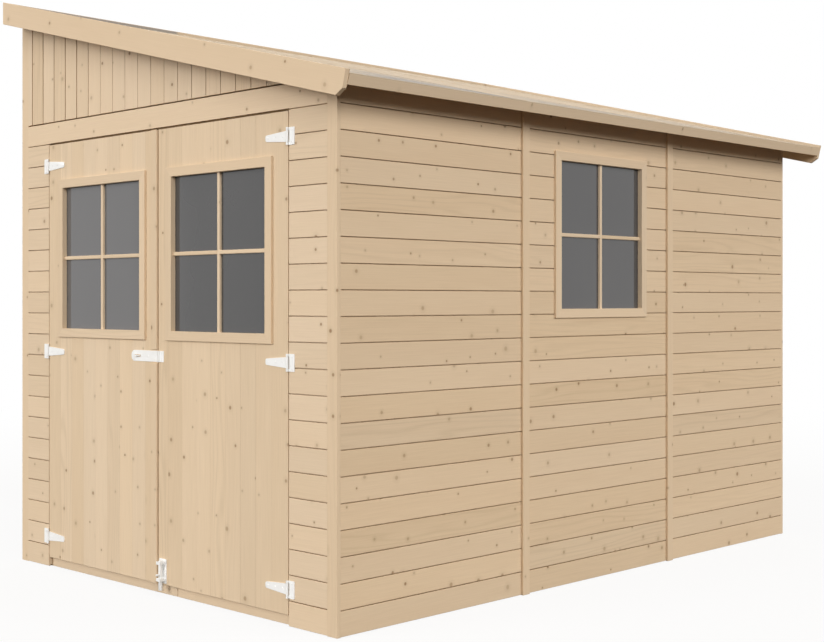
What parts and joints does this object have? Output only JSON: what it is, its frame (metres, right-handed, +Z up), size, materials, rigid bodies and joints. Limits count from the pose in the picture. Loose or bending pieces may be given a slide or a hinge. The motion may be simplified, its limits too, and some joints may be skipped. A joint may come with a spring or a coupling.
{
  "type": "garden shed",
  "caption": "Lean-to timber garden shed with a felted mono-pitch roof, glazed double doors on strap hinges and a glazed side window; stands on the ground.",
  "frame": {"origin": "on the ground under the middle of the walls", "axes": "+X towards the low eave side with the window, -Y towards the doors, +Z up"},
  "size_m": [2.189, 3.15, 2.4252],
  "materials": {
    "front_boarding": "planed, untreated",
    "wall_boarding": "planed, untreated",
    "frame_timber": "planed, untreated",
    "trim_boards": "planed, untreated",
    "floor_boards": "planed, untreated",
    "roof_boards": "planed, untreated",
    "window_casing": "planed, untreated",
    "door_boards": "planed, untreated",
    "door_ledges": "planed, untreated",
    "roofing_felt": "sandy mineral faced felt, matte",
    "window_glass": "clear pane, dark behind",
    "white_metal": "white coated"
  },
  "bodies": {
    "shed": {"front_wall_left": "front_boarding", "front_wall_right": "front_boarding", "front_header": "front_boarding", "front_gable": "front_boarding", "side_wall_front_panel": "wall_boarding", "side_wall_window_panel": "wall_boarding", "side_wall_rear_panel": "wall_boarding", "high_wall": "wall_boarding", "rear_wall": "wall_boarding", "rear_gable": "wall_boarding", "front_wall_frame": "frame_timber", "rear_wall_frame": "frame_timber", "side_wall_frame": "frame_timber", "high_wall_frame": "frame_timber", "roof_purlins": "frame_timber", "floor_bearers": "frame_timber", "corner_boards": "trim_boards", "wall_battens": "trim_boards", "barge_boards": "trim_boards", "eave_fascia": "trim_boards", "high_fascia": "trim_boards", "door_threshold": "trim_boards", "floor_deck": "floor_boards", "roof_deck": "roof_boards", "roof_felt": "roofing_felt", "side_window_frame": "window_casing", "side_window_glass": "window_glass", "hinge_jamb_plates": "white_metal"},
    "left_door": {"left_door_leaf": "door_boards", "left_door_ledges": "door_ledges", "left_door_window_frame": "window_casing", "left_door_glass": "window_glass", "left_door_straps": "white_metal", "door_cover_strip": "trim_boards", "hasp_strap": "white_metal"},
    "right_door": {"right_door_leaf": "door_boards", "right_door_ledges": "door_ledges", "right_door_window_frame": "window_casing", "right_door_glass": "window_glass", "right_door_straps": "white_metal", "hasp_leaf": "white_metal", "bolt_plate": "white_metal"},
    "bolt": {"bolt_rod": "white_metal"}
  },
  "joints": [
    {"name": "left_door_hinge", "type": "hinge", "parent": "shed", "child": "left_door", "pos_m": [-0.797, -1.476, 0.9], "axis": [0, 0, -1], "range_deg": [0, 165]},
    {"name": "right_door_hinge", "type": "hinge", "parent": "shed", "child": "right_door", "pos_m": [0.768, -1.476, 0.9], "axis": [0, 0, 1], "range_deg": [0, 165]},
    {"name": "bolt_slide", "type": "slide", "parent": "right_door", "child": "bolt", "axis": [0, 0, 1], "range_m": [0, 0.028]}
  ]
}
